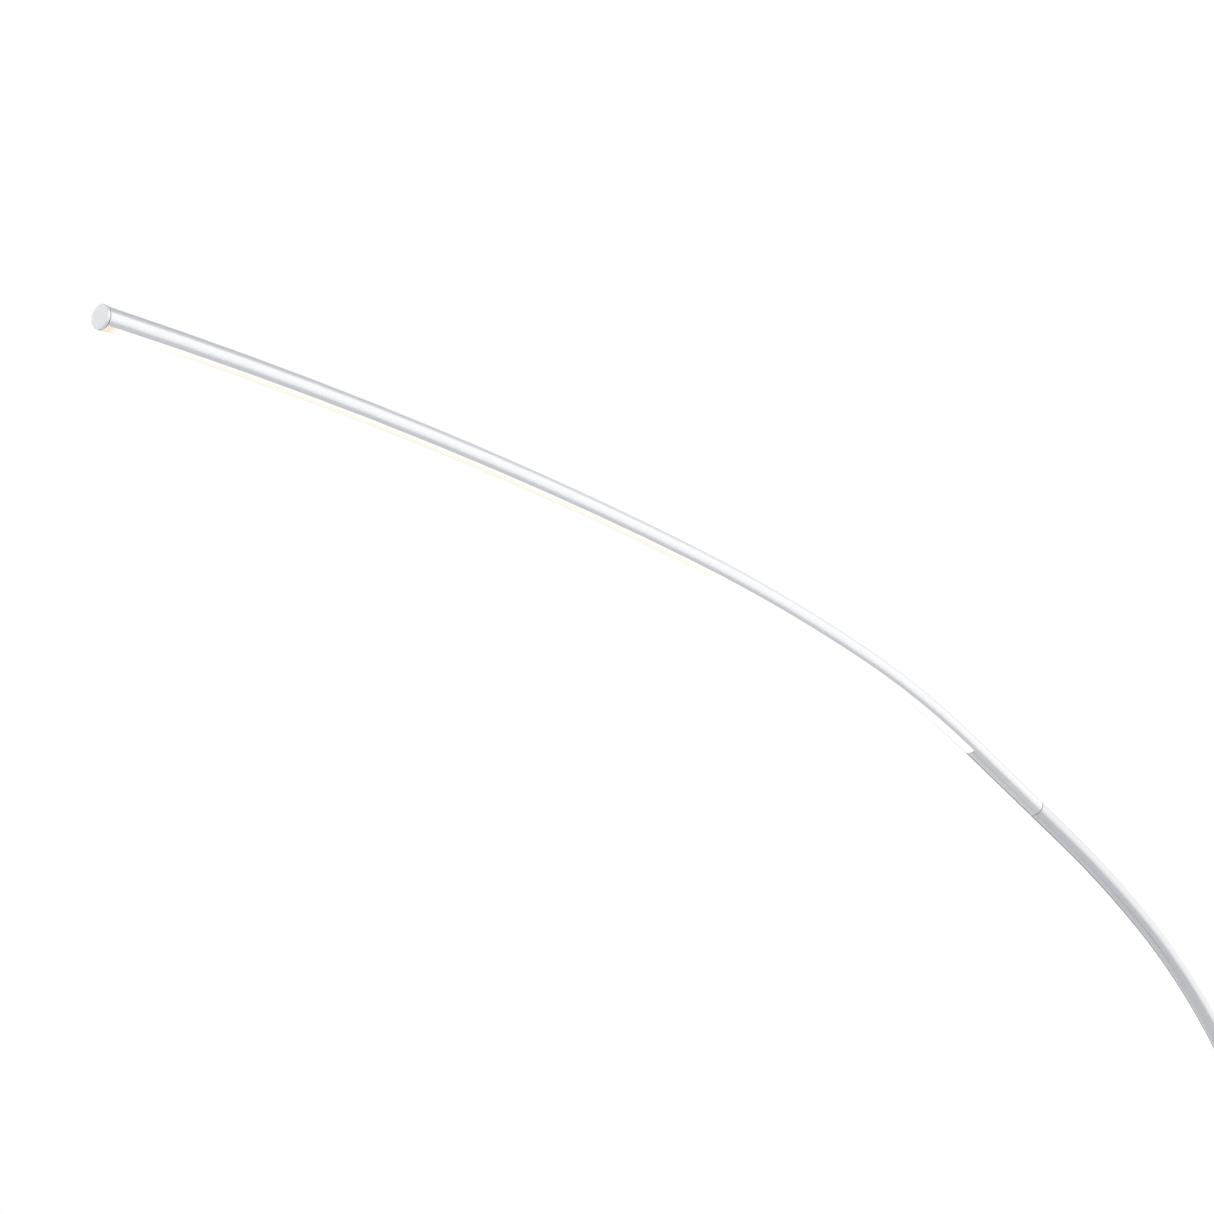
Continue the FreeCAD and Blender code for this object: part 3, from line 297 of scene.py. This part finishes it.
def paint_groove_shade(make, paint):
    """Paint shade onto the end cap's neck behind its rim, as the shadow in the groove there."""
    slope = math.radians(CAP_SLOPE)
    axis = Vector((math.cos(slope), 0.0, -math.sin(slope)))
    face = max(vertex.co.dot(axis) for vertex in frame["nodes"]["end_cap"].data.vertices)
    along = make.add("ShaderNodeVectorMath", {0: make.place(), 1: axis}, operation="DOT_PRODUCT")
    dark, light = (face - CAP_RIM - behind for behind in GROOVE_SHADE_START)
    # dark band of painted shade on the neck, where the groove lies in shadow
    neck_shade = make.span(along.outputs["Value"], dark, light, 1.0, 0.0)
    return make.mix(neck_shade, paint, opaque(GROOVE_SHADE_COLOUR))


# Lit lens: warm along a line just off its middle and whiter towards both ends, with the last of it
# at the tip unlit and tan. Runs are measured along X from the joint end and back from the tip.
LENS_WHITE = (0.60, 0.59, 0.575)
LENS_WARM = (0.482, 0.463, 0.388)
LENS_TAN = (0.45, 0.33, 0.18)
LENS_BODY = (0.62, 0.60, 0.56)
LENS_MOTTLE = 0.96
LENS_GRAIN = (260.0, 900.0)
LENS_GRAIN_DEPTH = 0.000002
LENS_ROUGHNESS = 0.35
LENS_EDGE = (0.0016, 0.0042)
LENS_WARM_SIDE = 0.0008
LENS_COOL_JOINT = (0.31, 0.44)
LENS_JOINT_WHITENESS = 0.85
LENS_COOL_TIP = (0.08, 0.035)
LENS_TIP_WHITENESS = 0.7
LENS_UNLIT = (0.011, 0.00385)


def lens_glow(make, low, high):
    place = make.add("ShaderNodeSeparateXYZ", {"Vector": make.place()})
    along = place.outputs["X"]
    across = make.maths("ABSOLUTE", make.maths("SUBTRACT", place.outputs["Y"], LENS_WARM_SIDE))
    side = make.span(across, *LENS_EDGE, smooth=True)
    start, end = (low.x + run for run in LENS_COOL_JOINT)
    joint_end = make.span(along, start, end, LENS_JOINT_WHITENESS, 0.0, smooth=True)
    start, end = (high.x - run for run in LENS_COOL_TIP)
    tip_end = make.span(along, start, end, 0.0, LENS_TIP_WHITENESS, smooth=True)
    white = make.maths("MAXIMUM", side, make.maths("MAXIMUM", joint_end, tip_end))
    glow = make.mix(white, opaque(LENS_WARM), opaque(LENS_WHITE))
    start, end = (high.x - run for run in LENS_UNLIT)
    return make.mix(make.span(along, start, end, smooth=True), glow, opaque(LENS_TAN))


def lit_lens():
    material, make = new_material("opal_lens")
    broad, fine = (make.noise(grain) for grain in LENS_GRAIN)
    make.surface({
        "Base Color": make.mix(broad, opaque(LENS_BODY), opaque(shade(LENS_BODY, LENS_MOTTLE))),
        "Roughness": LENS_ROUGHNESS,
        "Emission Color": lens_glow(make, *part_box("lens")),
        "Emission Strength": 1.0,
        "Normal": make.bump(fine, LENS_GRAIN_DEPTH),
    })
    return material


# LED chips: two shades of their phosphor, its grain per metre, roughness and glow
CHIP_LIGHT = (0.95, 0.78, 0.28)
CHIP_DARK = (0.90, 0.70, 0.22)
CHIP_GRAIN = 1500.0
CHIP_ROUGHNESS = 0.3
CHIP_GLOW = (1.0, 0.90, 0.70)
CHIP_STRENGTH = 2.0


def lit_chips():
    material, make = new_material("led_phosphor")
    make.surface({
        "Base Color": make.mix(make.noise(CHIP_GRAIN), opaque(CHIP_LIGHT), opaque(CHIP_DARK)),
        "Roughness": CHIP_ROUGHNESS,
        "Emission Color": opaque(CHIP_GLOW),
        "Emission Strength": CHIP_STRENGTH,
    })
    return material


def dress_nodes():
    """Give every CAD node the finish of its material slot."""
    # the end cap's neck gets painted shade in its groove
    painted_shades = {"cap_plastic": paint_groove_shade}
    materials = {slot: finished(slot, painted_shades.get(slot)) for slot in FINISHES}
    materials["opal_lens"] = lit_lens()
    materials["led_phosphor"] = lit_chips()
    for part in frame["record"]["subparts"]:
        node = frame["nodes"][part["node"]]
        node.data.materials.clear()
        node.data.materials.append(materials[part["material_slot"]])


place_camera()
light_studio()
lay_floor()
dress_nodes()
